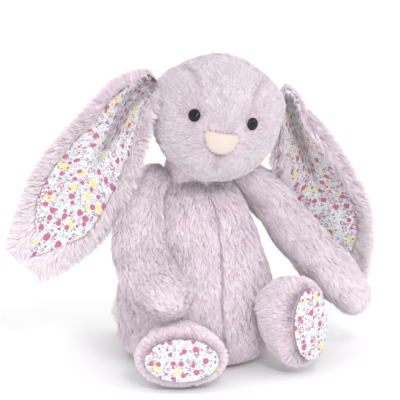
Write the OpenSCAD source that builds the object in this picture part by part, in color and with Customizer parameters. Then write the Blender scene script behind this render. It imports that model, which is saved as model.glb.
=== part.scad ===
// Sitting plush rabbit: lilac pile, printed cotton ear linings and foot pads.
// Millimetres. +Z is up, the belly faces -Y, and the origin is the middle of the seat.
// Left and right are the rabbit's own: its left is +X.

/* [Torso] */
// Widest radius of the torso
body_r = 57; // [52:1:62]
// Height of the torso from the seat to the neck
body_h = 141; // [134:1:145]
// Radius of the flat patch it sits on
seat_r = 40; // [34:1:43]
// Thickness of the plush panels
plush_t = 3; // [2:0.5:4]
// Radius of the pellet pouch in the seat
pouch_r = 34; // [26:1:38]

/* [Head] */
// Half width of the head
head_rx = 46; // [41:1:47]
// Half depth of the head
head_ry = 42; // [38:1:43]
// Half height of the head
head_rz = 46; // [41:1:46]
// Turn of the face towards the rabbit's right, in degrees
head_turn = 18; // [0:1:25]
// Sideways tilt of the head, in degrees
head_tilt = 10; // [0:1:14]
// Radius of the muzzle
muzzle_r = 29; // [26:1:31]
// Width of the nose patch
nose_w = 25; // [20:1:28]
// Height of the nose patch
nose_h = 15; // [12:1:18]

/* [Eyes] */
// Radius of an eye
eye_r = 4.6; // [4:0.1:5.5]
// Distance of an eye from the middle of the face
eye_x = 21; // [18:1:24]
// Height of an eye above the middle of the head
eye_z = 6.5; // [4:0.5:12]

/* [Ears] */
// Widest half width of an ear
ear_w = 30; // [24:1:31]
// Thickness of the plush half of an ear
ear_t = 4.5; // [3:0.5:6]
// Share of the ear's width that the lining covers
lining_share = 0.8; // [0.7:0.1:0.8]

/* [Limbs] */
// Radius of an arm at the paw
paw_r = 20; // [15:1:21]
// Radius of an arm at the shoulder
shoulder_r = 14; // [11:1:14]
// Half length of a foot
foot_long = 39; // [35:1:40]
// Half width of a foot
foot_short = 23; // [20:1:24]
// Radius of the tail
tail_r = 15; // [12:1:17]

/* [Hidden] */

lilac = [0.87, 0.80, 0.87];
wadding = [0.95, 0.94, 0.91];
print_white = [0.93, 0.90, 0.93];
peach = [0.96, 0.88, 0.80];

belly_y = -2;          // middle of the torso, front to back
head_at = [3, -31, 182];
muzzle_at = [0, -17, -9];
eye_depth = 42;        // distance of an eye from the middle of the head
shank_r = 2;           // the eye's stalk
shank_l = 9;
washer_r = 6;
washer_t = 1.5;
nose_t = 1.5;
pad_t = 1.5;           // foot pad and its backing
pad_share = 0.67;      // share of the sole that the pad covers
lining_t = 1;
lining_gap = 0.45;     // between the lining and the plush, which their facets need
tail_at = [-20, 62, 19];
skin_gap = 0.1;
big = 400;

// Torso outline: [share of the height, share of the widest radius]
torso_outline = [[0, seat_r / body_r], [0.02, 0.83], [0.06, 0.92], [0.12, 0.98], [0.21, 1], [0.35, 0.97],
    [0.49, 0.90], [0.62, 0.80], [0.72, 0.70], [0.82, 0.60], [0.90, 0.49], [0.96, 0.33],
    [0.99, 0.15], [1, 0]];

// Middle lines of the limbs and ears, from the seam outwards
left_arm_path = [[35, -4, 146], [49, -6, 120], [68, -24, 90], [85, -42, 65], [106, -60, 38]];
right_arm_path = [[-35, -6, 148], [-45, -9, 126], [-57, -28, 96], [-58, -55, 73], [-48, -86, 60]];
left_leg_path = [[32, -53, 29], [38, -64, 33], [42, -72, 38], [49, -92, 39]];
right_leg_path = [[-31, -52, 23], [-38, -63, 23], [-43, -72, 23], [-52, -94, 24]];
left_ear_path = [[52, -45, 196], [68, -26, 166], [89, -3, 132], [102, 8, 102], [112, 7, 69],
    [119, 0, 38]];
right_ear_path = [[-37, -19, 213], [-57, -16, 196], [-71, -8, 166], [-86, 3, 136], [-100, 15, 105],
    [-124, 31, 69]];

// ---------- geometry helpers ----------

function unit(v) = v / norm(v);

// A smooth curve through points: the point at t, from 0 at the first to 1 at the last
function spline(p, t) =
    let (last = len(p) - 1, i = min(last - 1, floor(t * last)), u = t * last - i,
         a = p[i], b = p[i + 1], ta = slope(p, i), tb = slope(p, i + 1))
    a * (2 * u * u * u - 3 * u * u + 1) + ta * (u * u * u - 2 * u * u + u)
    + b * (3 * u * u - 2 * u * u * u) + tb * (u * u * u - u * u);

function slope(p, i) =
    (p[min(i + 1, len(p) - 1)] - p[max(i - 1, 0)]) / (i == 0 || i == len(p) - 1 ? 1 : 2);

// The direction of that curve
function heading(p, t) =
    let (e = 0.01) unit(spline(p, min(1, t + e)) - spline(p, max(0, t - e)));

// Blunt-ended profile from 0 at both ends to 1 in the middle
function blunt(t, first, last) = t < 0.5
    ? pow(1 - pow(1 - 2 * t, first), 1 / first)
    : pow(1 - pow(2 * t - 1, last), 1 / last);

// Steps crowd towards both ends, where the shape turns in
function step(i, n) = (1 - cos(180 * i / n)) / 2;

// A closed skin over rings of points, with a tip at each end
module skin(rings, first, last) {
    n = len(rings[0]);
    m = len(rings);
    points = concat([first], [for (r = rings) each r], [last]);
    end = len(points) - 1;
    faces = concat(
        [for (i = [0 : n - 1]) [0, 1 + (i + 1) % n, 1 + i]],
        [for (j = [0 : m - 2], i = [0 : n - 1])
            let (a = 1 + j * n + i, b = 1 + j * n + (i + 1) % n)
            each [[a, b, a + n], [b, b + n, a + n]]],
        [for (i = [0 : n - 1])
            let (a = 1 + (m - 1) * n)
            [end, a + i, a + (i + 1) % n]]);
    polyhedron(points, faces);
}

// A stuffed limb along a path. root and end are its half sizes, [side, up], at the seam and at
// the far end, inset makes the same limb smaller all round, and ends says how blunt each end is.
module limb(path, root, end, inset = 0, ends = [2, 3]) {
    rows = 11;
    sides = 18;
    cut = inset / norm(path[len(path) - 1] - path[0]);
    function along(i) = cut + (1 - 2 * cut) * step(i, rows);
    rings = [for (i = [1 : rows - 1])
        let (t = along(i), c = spline(path, t), h = heading(path, t),
             side = unit(cross(h, [0, 0, 1])), up = cross(side, h),
             k = blunt(step(i, rows), ends[0], ends[1]),
             r = (root + (end - root) * pow(t, 1.5) - [inset, inset]) * k)
        [for (j = [0 : sides - 1])
            let (a = 360 * j / sides)
            c + side * r[0] * cos(a) + up * r[1] * sin(a)]];
    skin(rings, spline(path, cut), spline(path, 1 - cut));
}

// Half width of an ear along its length
function ear_half(t) = ear_w * pow(sin(180 * pow(t, 1.45)), 0.5);

// One point of an ear: s runs across from -1 to 1, deep is how far behind the front face.
// The ear is folded like a trough at its root and opens out towards its tip.
function ear_point(path, front, t, s, deep) =
    let (h = heading(path, t), side = unit(cross(h, front)), out = cross(side, h),
         curl = 100 * pow(1 - t, 1.3) + 14, w = ear_half(t),
         r = w / (curl * PI / 180), a = curl * s)
    spline(path, t) + side * (r + deep) * sin(a) + out * (r - (r + deep) * cos(a));

// A layer of an ear between two depths, over a share of its width and from one row of the
// ear's grid to another. Both layers use the same grid, so their facets run side by side.
module ear_layer(path, front, near, far, share, from, to) {
    rows = 16;
    across = round(10 * share);
    function along(i) = 0.02 + 0.955 * step(i, rows);
    low = along(from);
    high = along(to);
    rings = [for (i = [from : to])
        let (t = along(i))
        concat(
            [for (j = [0 : across]) ear_point(path, front, t, share * (2 * j / across - 1), far)],
            [for (j = [across : -1 : 0]) ear_point(path, front, t, share * (2 * j / across - 1), near)])];
    skin(rings, ear_point(path, front, low, 0, (near + far) / 2),
        ear_point(path, front, high, 0, (near + far) / 2));
}

// ---------- torso ----------

module torso(inset) {
    k = (body_r - inset) / body_r;
    outline = [for (p = torso_outline) [p[1] * body_r * k, inset + p[0] * (body_h - 2 * inset)]];
    translate([0, belly_y, 0])
        rotate_extrude($fn = 96)
            polygon(concat([[0, inset]], outline));
}

module body_shell() {
    difference() {
        torso(0);
        torso(plush_t);
    }
}

module half_space(side) {
    translate([side > 0 ? 0 : -big, -big / 2, -big / 2])
        cube(big);
}

module body_left_panel() {
    color(lilac) intersection() {
        body_shell();
        half_space(1);
    }
}

module body_right_panel() {
    color(lilac) intersection() {
        body_shell();
        half_space(-1);
    }
}

module pouch() {
    pouch_z = 20;
    pouch_flat = 0.4;
    translate([0, belly_y, pouch_z])
        scale([1, 1, pouch_flat])
            sphere(r = pouch_r, $fn = 48);
}

module body_stuffing() {
    color(wadding) difference() {
        torso(plush_t);
        pouch();
    }
}

module pellet_pouch() {
    color(print_white) pouch();
}

// ---------- head, drawn upright and facing -Y, then turned into place ----------

module on_head() {
    translate(head_at)
        rotate([0, head_tilt, -head_turn])
            children();
}

module head_form(inset) {
    scale([head_rx - inset, head_ry - inset, head_rz - inset] / head_rx)
        sphere(r = head_rx, $fn = 64);
    translate(muzzle_at)
        sphere(r = muzzle_r - inset, $fn = 64);
}

// Places a child on the eye's own axis, which points out of the face along +Z
module on_eye(side) {
    depth_y = -sqrt(eye_depth * eye_depth - eye_x * eye_x - eye_z * eye_z);
    lean = acos(eye_z / eye_depth);
    spin = atan2(depth_y, side * eye_x);
    rotate([0, lean, spin])
        translate([0, 0, eye_depth])
            children();
}

// Room for the stalk through the plush, and a wider one behind it for the washer
module eye_room(side, r) {
    on_eye(side)
        translate([0, 0, -shank_l - 1])
            cylinder(r = r + skin_gap, h = 20, $fn = 32);
}

module head_shell() {
    difference() {
        head_form(0);
        head_form(plush_t);
        for (side = [-1, 1]) {
            eye_room(side, shank_r);
            on_eye(side)
                translate([0, 0, -0.5])
                    cylinder(r = eye_r + skin_gap, h = 12, $fn = 32);
        }
    }
}

module gusset_room() {
    gusset_w = 28;
    translate([-gusset_w / 2, -big / 2, 16])
        cube([gusset_w, big, big]);
}

module head_side_panel() {
    difference() {
        intersection() {
            head_shell();
            half_space(1);
        }
        gusset_room();
    }
}

module head_left_panel() {
    color(lilac) on_head() head_side_panel();
}

module head_right_panel() {
    color(lilac) on_head() mirror([1, 0, 0]) head_side_panel();
}

module head_gusset() {
    color(lilac) on_head() intersection() {
        head_shell();
        gusset_room();
    }
}

// The wadding is a ball turned on a lathe, with the muzzle's filling in front
module head_filling() {
    slack = 0.5;
    r = min(head_rx, head_ry) - plush_t - slack;
    h = head_rz - plush_t - slack;
    steps = 24;
    outline = [for (i = [0 : steps])
        let (a = 180 * i / steps)
        [i == 0 || i == steps ? 0 : r * sin(a), h * cos(a)]];
    rotate_extrude($fn = 64)
        polygon(outline);
    translate(muzzle_at)
        sphere(r = muzzle_r - plush_t, $fn = 64);
}

module head_stuffing() {
    color(wadding) on_head() difference() {
        head_filling();
        for (side = [-1, 1])
            eye_room(side, washer_r);
    }
}

module nose() {
    corner_r = 4.5;
    chin_r = 6;
    color(peach) on_head() intersection() {
        difference() {
            translate(muzzle_at)
                sphere(r = muzzle_r + nose_t, $fn = 64);
            translate(muzzle_at)
                sphere(r = muzzle_r + skin_gap, $fn = 64);
        }
        translate([0, 0, muzzle_at[2]])
            rotate([90, 0, 0])
                linear_extrude(height = 60)
                    hull() {
                        for (side = [-1, 1])
                            translate([side * (nose_w / 2 - corner_r), nose_h / 2 - corner_r])
                                circle(r = corner_r, $fn = 32);
                        translate([0, chin_r - nose_h / 2])
                            circle(r = chin_r, $fn = 32);
                    }
    }
}

module eye(side) {
    dome_flat = 0.75;
    color([0.04, 0.04, 0.05]) on_head() on_eye(side) {
        intersection() {
            scale([1, 1, dome_flat])
                sphere(r = eye_r, $fn = 48);
            cylinder(r = eye_r, h = eye_r, $fn = 48);
        }
        translate([0, 0, -shank_l])
            cylinder(r = shank_r, h = shank_l, $fn = 32);
    }
}

module left_eye() {
    eye(1);
}

module right_eye() {
    eye(-1);
}

module eye_washer(side) {
    washer_depth = 4.8;
    color(print_white) on_head() on_eye(side) translate([0, 0, -washer_depth]) difference() {
        cylinder(r = washer_r, h = washer_t, $fn = 32);
        translate([0, 0, -washer_t])
            cylinder(r = shank_r + skin_gap, h = 3 * washer_t, $fn = 32);
    }
}

module left_eye_washer() {
    eye_washer(1);
}

module right_eye_washer() {
    eye_washer(-1);
}

// ---------- ears ----------

left_front = unit([-0.42, -0.88, 0.15]);
right_front = unit([-0.42, -0.88, 0.2]);

module left_ear_plush() {
    color(lilac) ear_layer(left_ear_path, left_front, 0, ear_t, 1, 0, 16);
}

module left_ear_lining() {
    color(print_white)
        ear_layer(left_ear_path, left_front, -lining_gap - lining_t, -lining_gap, lining_share, 1, 14);
}

module right_ear_plush() {
    color(lilac) ear_layer(right_ear_path, right_front, 0, ear_t, 1, 0, 16);
}

module right_ear_lining() {
    color(print_white)
        ear_layer(right_ear_path, right_front, -lining_gap - lining_t, -lining_gap, lining_share, 1, 14);
}

// ---------- arms ----------

// spread widens a paw that is pressed flat
module arm_form(path, spread, inset) {
    limb(path, [shoulder_r, shoulder_r], [paw_r + spread, paw_r], inset);
}

module arm_plush(path, spread) {
    color(lilac) difference() {
        arm_form(path, spread, 0);
        arm_form(path, spread, plush_t);
    }
}

flat_paw = 7;

module left_arm_plush() {
    arm_plush(left_arm_path, 1);
}

module left_arm_stuffing() {
    color(wadding) arm_form(left_arm_path, 1, plush_t);
}

module right_arm_plush() {
    arm_plush(right_arm_path, flat_paw);
}

module right_arm_stuffing() {
    color(wadding) arm_form(right_arm_path, flat_paw, plush_t);
}

// ---------- legs: the left foot stands toes up, the right one lies on its side ----------

module leg_form(path, sole, inset) {
    limb(path, [19, 22], sole, inset, [2.2, 4]);
}

module leg_plush(path, sole) {
    color(lilac) difference() {
        leg_form(path, sole, 0);
        leg_form(path, sole, plush_t);
        pad_room(path, sole);
    }
}

module pad_room(path, sole) {
    sole_place(path)
        translate([0, 0, -pad_t])
            scale([sole[0], sole[1], 1])
                cylinder(r = pad_share + 0.01, h = 10, $fn = 48);
}

// +Z points out of the sole and +Y up it
module sole_place(path) {
    last = len(path) - 1;
    h = heading(path, 1);
    side = unit(cross(h, [0, 0, 1]));
    up = cross(side, h);
    multmatrix([
        [side[0], up[0], h[0], path[last][0]],
        [side[1], up[1], h[1], path[last][1]],
        [side[2], up[2], h[2], path[last][2]]])
        children();
}

module foot_pad(path, sole) {
    color(print_white) sole_place(path)
        translate([0, 0, skin_gap - pad_t])
            scale([sole[0], sole[1], 1])
                cylinder(r = pad_share, h = pad_t, $fn = 48);
}

upright_sole = [foot_short + 1, foot_long];
lying_sole = [foot_long, foot_short];

module left_leg_plush() {
    leg_plush(left_leg_path, upright_sole);
}

module left_leg_stuffing() {
    color(wadding) leg_form(left_leg_path, upright_sole, plush_t);
}

module left_foot_pad() {
    foot_pad(left_leg_path, upright_sole);
}

module right_leg_plush() {
    leg_plush(right_leg_path, lying_sole);
}

module right_leg_stuffing() {
    color(wadding) leg_form(right_leg_path, lying_sole, plush_t);
}

module right_foot_pad() {
    foot_pad(right_leg_path, lying_sole);
}

// ---------- tail ----------

// A ball with a flat where it is sewn on, turned so that the flat lies against the torso
module tail_form(inset) {
    out = norm([tail_at[0], tail_at[1] - belly_y]);
    base = body_r + 1 + inset - out;
    r = tail_r - inset;
    low = asin(base / r);
    steps = 12;
    outline = [for (i = [0 : steps])
        let (a = low + (90 - low) * i / steps)
        [i == steps ? 0 : r * cos(a), r * sin(a)]];
    translate(tail_at)
        rotate([0, 90, atan2(tail_at[1] - belly_y, tail_at[0])])
            rotate_extrude($fn = 48)
                polygon(concat([[0, base]], outline));
}

module tail_plush() {
    color("white") difference() {
        tail_form(0);
        tail_form(plush_t);
    }
}

module tail_stuffing() {
    color(wadding) tail_form(plush_t);
}

body_left_panel();
body_right_panel();
body_stuffing();
pellet_pouch();
head_left_panel();
head_right_panel();
head_gusset();
head_stuffing();
nose();
left_eye();
right_eye();
left_eye_washer();
right_eye_washer();
left_ear_plush();
left_ear_lining();
right_ear_plush();
right_ear_lining();
left_arm_plush();
left_arm_stuffing();
right_arm_plush();
right_arm_stuffing();
left_leg_plush();
left_leg_stuffing();
left_foot_pad();
right_leg_plush();
right_leg_stuffing();
right_foot_pad();
tail_plush();
tail_stuffing();
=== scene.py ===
"""Looks of a sitting plush rabbit: brushed pile on stuffed forms, and printed cotton."""

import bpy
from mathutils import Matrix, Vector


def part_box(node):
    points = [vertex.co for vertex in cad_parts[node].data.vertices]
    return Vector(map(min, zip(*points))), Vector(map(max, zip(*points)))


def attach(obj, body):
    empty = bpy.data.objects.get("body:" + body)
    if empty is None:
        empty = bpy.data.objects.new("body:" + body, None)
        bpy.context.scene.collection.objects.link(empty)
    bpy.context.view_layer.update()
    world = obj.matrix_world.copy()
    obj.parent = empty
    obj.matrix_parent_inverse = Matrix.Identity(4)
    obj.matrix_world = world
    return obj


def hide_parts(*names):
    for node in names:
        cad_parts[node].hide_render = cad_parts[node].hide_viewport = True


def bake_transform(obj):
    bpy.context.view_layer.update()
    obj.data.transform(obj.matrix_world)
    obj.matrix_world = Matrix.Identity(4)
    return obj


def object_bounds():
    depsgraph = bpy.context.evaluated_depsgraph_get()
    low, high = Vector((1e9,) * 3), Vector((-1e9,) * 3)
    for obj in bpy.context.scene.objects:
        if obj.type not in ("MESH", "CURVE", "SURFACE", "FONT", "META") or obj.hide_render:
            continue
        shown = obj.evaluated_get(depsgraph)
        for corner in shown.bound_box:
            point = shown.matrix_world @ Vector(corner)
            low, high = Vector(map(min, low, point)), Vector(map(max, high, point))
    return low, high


bl_info = {
    "name": "Plush Rabbit",
    "version": (1, 0, 0),
    "blender": (4, 5, 0),
    "location": "View3D > Sidebar > Plush Rabbit",
    "description": "Makes a sitting plush rabbit with brushed pile and printed cotton",
    "category": "Add Mesh",
}

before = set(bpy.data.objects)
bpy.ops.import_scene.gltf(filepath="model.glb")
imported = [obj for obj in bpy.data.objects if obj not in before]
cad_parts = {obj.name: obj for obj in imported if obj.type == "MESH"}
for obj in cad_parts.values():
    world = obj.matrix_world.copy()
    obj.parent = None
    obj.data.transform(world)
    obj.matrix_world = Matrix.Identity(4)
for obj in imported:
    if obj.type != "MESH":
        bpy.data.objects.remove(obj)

import itertools
import math

import bpy
import numpy as np
from bpy.props import FloatProperty, FloatVectorProperty, IntProperty, PointerProperty
from mathutils import Vector

CAD_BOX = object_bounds()
MM = 0.001
UP = np.array([0.0, 0.0, 1.0])

# Middle lines of the limbs and ears, from the seam outwards
LEFT_ARM_PATH = np.array([[35, -4, 146], [49, -6, 120], [68, -24, 90], [85, -42, 65],
                          [106, -60, 38]]) * MM
RIGHT_ARM_PATH = np.array([[-35, -6, 148], [-45, -9, 126], [-57, -28, 96], [-58, -55, 73],
                           [-48, -86, 60]]) * MM
LEFT_LEG_PATH = np.array([[32, -53, 29], [38, -64, 33], [42, -72, 38], [49, -92, 39]]) * MM
RIGHT_LEG_PATH = np.array([[-31, -52, 23], [-38, -63, 23], [-43, -72, 23], [-52, -94, 24]]) * MM
LEFT_EAR_PATH = np.array([[52, -45, 196], [68, -26, 166], [89, -3, 132], [102, 8, 102],
                          [112, 7, 69], [119, 0, 38]]) * MM
RIGHT_EAR_PATH = np.array([[-37, -19, 213], [-57, -16, 196], [-71, -8, 166], [-86, 3, 136],
                           [-100, 15, 105], [-124, 31, 69]]) * MM

# The way the open side of each ear faces
LEFT_EAR_FRONT = np.array([-0.42, -0.88, 0.15])
RIGHT_EAR_FRONT = np.array([-0.42, -0.88, 0.2])

# How far the eyes meet the face, and their domes stand, from the middle of the head
EYE_SEAT, EYE_BASE = 43 * MM, 42 * MM

# Share of a sole that its printed pad covers
PAD_SHARE = 0.67

# Where an ear's lining starts and ends, as shares of the ear's length
LINING_START, LINING_END = 0.03, 0.945

# Torso outline: [share of the height, share of the widest radius]
TORSO_OUTLINE = [[0, 0], [0, 0.70], [0.02, 0.83], [0.06, 0.92], [0.12, 0.98], [0.21, 1],
                 [0.35, 0.97], [0.49, 0.90], [0.62, 0.80], [0.72, 0.70], [0.82, 0.60],
                 [0.90, 0.49], [0.96, 0.33], [0.99, 0.15], [1, 0]]


# ---------- sizes, pile and colours that a user may change ----------


def length_setting(name, description, default, **limits):
    """A length that a user may change."""
    return FloatProperty(name=name, description=description, default=default, unit="LENGTH",
                         **limits)


def angle_setting(name, description, degrees):
    """An angle that a user may change."""
    return FloatProperty(name=name, description=description, default=math.radians(degrees),
                         subtype="ANGLE")


def place_setting(name, description, default):
    """A place, or three half sizes, that a user may change."""
    return FloatVectorProperty(name=name, description=description, default=default,
                               subtype="XYZ", unit="LENGTH")


def colour_setting(name, description, default):
    """A colour that a user may change."""
    return FloatVectorProperty(name=name, description=description, default=default,
                               subtype="COLOR")


class RabbitSizes(bpy.types.PropertyGroup):
    """Sizes of the stuffed forms"""

    backing: length_setting(
        "Backing depth", "How far the woven backing lies inside the outer form", 0.0016,
        min=0.0005, max=0.003)
    head_place: place_setting("Head place", "Middle of the head", (0.003, -0.031, 0.182))
    head_half: place_setting(
        "Head half sizes", "Half width, half depth and half height of the head",
        (0.046, 0.042, 0.046))
    head_turn: angle_setting("Head turn", "Turn of the face towards the rabbit's right", 18)
    head_tilt: angle_setting("Head tilt", "Sideways tilt of the head", 10)
    muzzle_place: place_setting(
        "Muzzle place", "Middle of the muzzle, from the middle of the head",
        (0, -0.017, -0.009))
    muzzle_radius: length_setting("Muzzle radius", "Radius of the muzzle", 0.029)
    nose_width: length_setting("Nose width", "Width of the suede nose", 0.025)
    nose_height: length_setting("Nose height", "Height of the suede nose", 0.0155)
    eye_radius: length_setting("Eye radius", "Radius of an eye", 0.0046)
    ear_half_width: length_setting("Ear half width", "Widest half width of an ear", 0.030)
    ear_thickness: length_setting("Ear thickness", "Thickness of an ear's plush back", 0.0045)
    lining_share: FloatProperty(
        name="Lining share", description="Share of an ear's width that its lining covers",
        default=0.8, subtype="FACTOR", min=0.7, max=0.85)
    shoulder_radius: length_setting("Shoulder radius", "Radius of an arm at its seam", 0.014)
    paw_radius: length_setting("Paw radius", "Radius of an arm at its paw", 0.020)
    flat_paw: length_setting("Flat paw", "How much wider the right paw is pressed", 0.007)
    foot_long: length_setting("Foot half length", "Half length of a sole", 0.039)
    foot_short: length_setting("Foot half width", "Half width of a sole", 0.023)


class PileCut(bpy.types.PropertyGroup):
    """How the pile is cut and brushed"""

    strands: FloatProperty(
        name="Strands", description="Share of the full number of strands", default=1.0,
        min=0.05, max=1.5, subtype="FACTOR")
    body_length: length_setting("Body pile", "Length of the pile on the torso and limbs", 0.0068)
    head_length: length_setting("Head pile", "Length of the pile on the head", 0.0048)
    ear_length: length_setting("Ear pile", "Length of the pile on the ears", 0.0078)
    tail_length: length_setting("Tail pile", "Length of the pile on the tail", 0.0095)
    seed: IntProperty(name="Seed", description="Start of the random strands", default=7)


class PlushColours(bpy.types.PropertyGroup):
    """Colours of the cloths and plastics"""

    # The pile's shades run from dark to light; roots take the darker ones as painted shade deep in
    # the pile.
    pile_dark: colour_setting("Pile, at the root", "Darkest lilac of the pile", (0.74, 0.60, 0.70))
    pile_light: colour_setting(
        "Pile, at the tip", "Lightest lilac of the pile", (0.95, 0.885, 0.915))
    # The head's pile is the same lilac pile in darker, greyer shades: painted shade for the head's
    # lighting.
    shaded_head_dark: colour_setting(
        "Head pile, at the root", "Darkest shade of the head's cooler pile", (0.63, 0.53, 0.60))
    shaded_head_light: colour_setting(
        "Head pile, at the tip", "Lightest shade of the head's pile", (0.815, 0.785, 0.795))
    tail_dark: colour_setting(
        "Tail, at the root", "Darkest shade of the tail's pile", (0.90, 0.87, 0.885))
    tail_light: colour_setting(
        "Tail, at the tip", "Lightest shade of the tail's pile", (0.985, 0.98, 0.98))
    backing: colour_setting("Backing", "Woven backing under the pile", (0.72, 0.57, 0.68))
    suede: colour_setting("Suede", "Suede of the nose", (0.60, 0.50, 0.43))
    thread: colour_setting("Thread", "Thread round the nose", (0.42, 0.27, 0.33))
    eye: colour_setting("Eye", "Glossy plastic of the eyes", (0.003, 0.003, 0.004))
    cotton: colour_setting("Cotton", "Ground of the printed cotton", (0.79, 0.785, 0.81))
    berry: colour_setting("Berry", "Large berry-red blossoms", (0.50, 0.035, 0.15))
    wine: colour_setting("Wine", "Small wine-red buds", (0.24, 0.03, 0.09))
    violet: colour_setting("Violet", "Violet blossoms", (0.36, 0.20, 0.46))
    lemon: colour_setting("Lemon", "Yellow blossoms", (0.84, 0.73, 0.27))
    mint: colour_setting("Mint", "Mint leaves and specks", (0.28, 0.55, 0.47))


# ---------- shapes ----------


def unit(v):
    """Vectors of length 1."""
    return v / np.maximum(np.linalg.norm(v, axis=-1, keepdims=True), 1e-12)


def dot(a, b):
    """Scalar products, kept as a column."""
    return (a * b).sum(-1, keepdims=True)


def spline(path, t):
    """Points of the smooth curve through path, for t from 0 at its first point to 1 at its last."""
    last = len(path) - 1
    i = np.minimum(last - 1, np.floor(np.clip(t, 0, 1) * last)).astype(int)
    u = (np.clip(t, 0, 1) * last - i)[..., None]
    slope = np.gradient(path, axis=0)
    return (path[i] * (2 * u**3 - 3 * u**2 + 1) + slope[i] * (u**3 - 2 * u**2 + u)
            + path[i + 1] * (3 * u**2 - 2 * u**3) + slope[i + 1] * (u**3 - u**2))


def heading(path, t, reach=0.01):
    """The direction of that curve."""
    return unit(spline(path, np.minimum(t + reach, 1)) - spline(path, np.maximum(t - reach, 0)))


def blunt(t, first, last):
    """A blunt-ended profile, 0 at both ends and 1 in the middle."""
    near = np.maximum(1 - np.abs(1 - 2 * t) ** first, 0) ** (1 / first)
    far = np.maximum(1 - np.abs(2 * t - 1) ** last, 0) ** (1 / last)
    return np.where(t < 0.5, near, far)


def crowded(n):
    """n steps from 0 to 1 that crowd towards both ends."""
    return (1 - np.cos(np.linspace(0, math.pi, n))) / 2


def smoothstep(x, low, high):
    """0 below low, 1 above high and a smooth turn between them."""
    u = np.clip((x - low) / (high - low), 0, 1)
    return u * u * (3 - 2 * u)


def lattice(rows, columns, wrap):
    """The triangles of a grid of points that may close on itself sideways."""
    i, j = np.meshgrid(np.arange(rows - 1), np.arange(columns - (not wrap)), indexing="ij")
    k = (j + 1) % columns
    a, b = i * columns + j, i * columns + k
    quads = np.stack([a, b, b + columns, a + columns], -1).reshape(-1, 4)
    return np.concatenate([quads[:, [0, 1, 2]], quads[:, [0, 2, 3]]])


def sphere_ways(rows, sides):
    """Directions all over a sphere, in rings from its top down, without its two poles."""
    polar = np.linspace(0, math.pi, rows)[1:-1, None]
    a = np.linspace(0, 2 * math.pi, sides, endpoint=False)
    return np.stack([np.sin(polar) * np.cos(a), np.sin(polar) * np.sin(a),
                     np.cos(polar) + 0 * a], -1)


class Skin:
    """A closed surface. Pile grows on it, and each point says how: nap is the way it's brushed,
    and rise, long, dense and tone scale its angle, length, thickness and shade. tone also
    carries painted shade in seams, creases and hollows, and painted light on the arms and ears."""

    def __init__(self, points, faces):
        a, b, c = (points[faces[:, k]] for k in range(3))
        if (a * np.cross(b, c)).sum() < 0:
            faces = faces[:, ::-1]
        self.points, self.faces = points, faces
        self.nap = np.zeros_like(points)
        self.rise, self.long, self.dense = (np.ones(len(points)) for _ in range(3))
        self.tone = np.zeros(len(points))
        self.measure()

    def measure(self):
        """Works out the normals."""
        a, b, c = (self.points[self.faces[:, k]] for k in range(3))
        flat = np.cross(b - a, c - a)
        total = np.zeros_like(self.points)
        for k in range(3):
            np.add.at(total, self.faces[:, k], flat)
        self.normals = unit(total)

    def push(self, depth):
        """Moves each point along its normal."""
        self.points = self.points + self.normals * np.broadcast_to(depth, len(self.points))[:, None]
        self.measure()


def closed_skin(rings, first, last):
    """A skin over rings of points, with a tip at each end."""
    rows, n = rings.shape[:2]
    points = np.concatenate([first[None], rings.reshape(-1, 3), last[None]])
    here = np.arange(n)
    there = (here + 1) % n
    start = np.stack([np.zeros(n, int), 1 + there, 1 + here], 1)
    base = 1 + (rows - 1) * n
    end = np.stack([np.full(n, len(points) - 1), base + here, base + there], 1)
    return Skin(points, np.concatenate([start, lattice(rows, n, True) + 1, end]))


def ring_values(values, n, first, last):
    """One value of each ring, given to all its points and to both tips."""
    return np.concatenate([[first], np.repeat(values, n), [last]])


def limb_frame(path, t):
    """Heading, side and up along a limb."""
    h = heading(path, t)
    side = unit(np.cross(h, UP))
    return h, side, np.cross(side, h)


def limb_skin(path, root, end, inset, ends, rows=84, sides=96):
    """A stuffed limb. root and end are its half sizes, side and up, at the seam and far end."""
    cut = inset / np.linalg.norm(path[-1] - path[0])
    s = crowded(rows + 1)[1:-1]
    t = cut + (1 - 2 * cut) * s
    _, side, up = limb_frame(path, t)
    swell = blunt(s, *ends)[:, None]
    sizes = (np.array(root) + (np.array(end) - root) * t[:, None] ** 1.5 - inset) * swell
    a = np.linspace(0, 2 * math.pi, sides, endpoint=False)
    rings = (spline(path, t)[:, None] + (side * sizes[:, :1])[:, None] * np.cos(a)[:, None]
             + (up * sizes[:, 1:])[:, None] * np.sin(a)[:, None])
    skin = closed_skin(rings, spline(path, np.array(cut)), spline(path, np.array(1 - cut)))
    skin.along = ring_values(t, sides, 0, 1)
    skin.nap = heading(path, skin.along)
    return skin


def sway(points, pitch, seed, waves=9):
    """A smooth random vector at each point that changes over about pitch."""
    rng = np.random.default_rng(seed)
    total = np.zeros_like(points)
    for _ in range(waves):
        wave = unit(rng.normal(size=3)) * 2 * math.pi / pitch * rng.uniform(0.6, 1.5)
        total += np.sin(points @ wave + rng.uniform(0, 2 * math.pi))[:, None] * rng.normal(size=3)
    return total / math.sqrt(waves)


def ripple(points, pitch, seed):
    """A smooth random number at each point that changes over about pitch."""
    return sway(points, pitch, seed)[:, 0]


# ---------- pile ----------


class Coat:
    """How one stretch of pile is made. rise is its angle above the cloth in radians, and stray
    is how far its nap wanders."""

    def __init__(self, length, per_mm2, width=0.36 * MM, rise=0.42, tuft=3 * MM, gather=0.5,
                 stray=1.0):
        self.length, self.per_mm2, self.width = length, per_mm2, width
        self.rise, self.tuft, self.gather, self.stray = rise, tuft, gather, stray


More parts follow.
